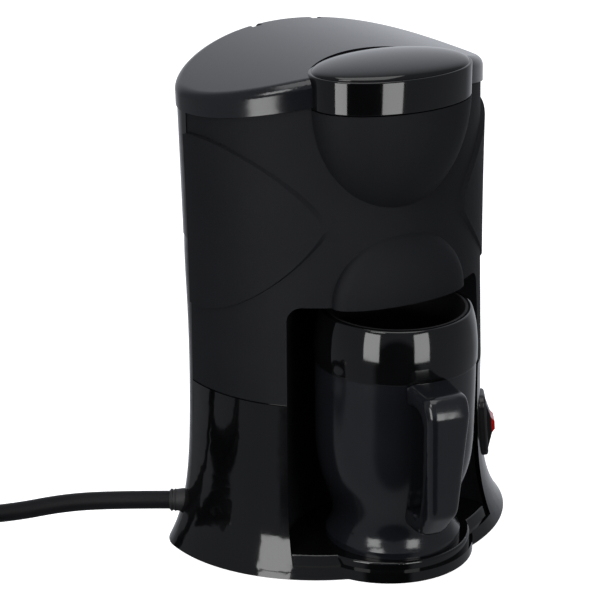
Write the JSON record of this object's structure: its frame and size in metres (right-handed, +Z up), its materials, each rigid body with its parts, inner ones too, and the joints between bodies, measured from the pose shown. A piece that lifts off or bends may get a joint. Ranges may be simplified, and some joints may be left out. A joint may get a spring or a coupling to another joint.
{
  "type": "drip coffee maker",
  "caption": "Oval one-cup drip coffee maker with arched lid, front filter pod, mug bay, flank rocker switch and a travel mug that slides out of the bay.",
  "frame": {"origin": "under the middle of the machine and mug, on the floor", "axes": "+Z up, -Y to the front where the mug stands, +X to the right flank with the switch"},
  "size_m": [0.3999, 0.2117, 0.2345],
  "materials": {
    "gloss": "high gloss black",
    "matte": "fine textured black",
    "satin": "satin black",
    "rubber": "matte",
    "steel": "brushed",
    "inner": "moulded",
    "silicone": "soft",
    "aluminium": "cast",
    "sleeve": "woven sleeve",
    "mesh": "fine mesh",
    "switch": "moulded",
    "lens": "red lens",
    "cord": "smooth jacket",
    "plug": "moulded",
    "nickel": "plated",
    "liner": "dark moulded inside"
  },
  "bodies": {
    "machine": {"base_shell": "gloss", "front_shell": "matte", "rear_cover": "gloss", "rear_upper_cover": "gloss", "bay_liner": "matte", "mug_tray": "gloss", "base_plate": "matte", "feet": "rubber", "base_screws": "steel", "water_tank": "inner", "tank_seal": "silicone", "feed_hose": "silicone", "check_valve": "inner", "riser_hose": "silicone", "riser_tube": "inner", "outlet_arm": "inner", "shower_disc": "inner", "flow_heater": "aluminium", "thermostat": "steel", "thermal_fuse": "sleeve", "heater_bracket": "steel", "terminal_block": "inner", "filter_holder": "inner", "permanent_filter": "mesh", "drip_spout": "inner", "switch_bezel": "switch", "switch_body": "switch", "switch_pin": "steel", "lid_hinge_pins": "steel", "cord_grommet": "rubber", "cord_lead": "cord", "cord_coil": "cord", "cord_tie": "rubber", "plug_body": "plug", "plug_pins": "nickel"},
    "lid": {"lid_panel": "satin", "lid_cap": "gloss"},
    "mug": {"mug_shell": "satin", "mug_liner": "liner", "mug_collar": "gloss", "mug_handle": "satin"},
    "rocker": {"switch_rocker": "switch", "switch_lens": "lens"}
  },
  "joints": [
    {"name": "lid_hinge", "type": "hinge", "parent": "machine", "child": "lid", "pos_m": [0, 0.07745, 0.2224], "axis": [-1, 0, 0], "range_deg": [0, 95]},
    {"name": "mug_slide", "type": "slide", "parent": "machine", "child": "mug", "axis": [0, -1, 0], "range_m": [0, 0.13]},
    {"name": "rocker_tilt", "type": "hinge", "parent": "machine", "child": "rocker", "pos_m": [0.06171, 0.00277, 0.04175], "axis": [0.509, 0.8607, 0], "range_deg": [-8, 8]}
  ]
}
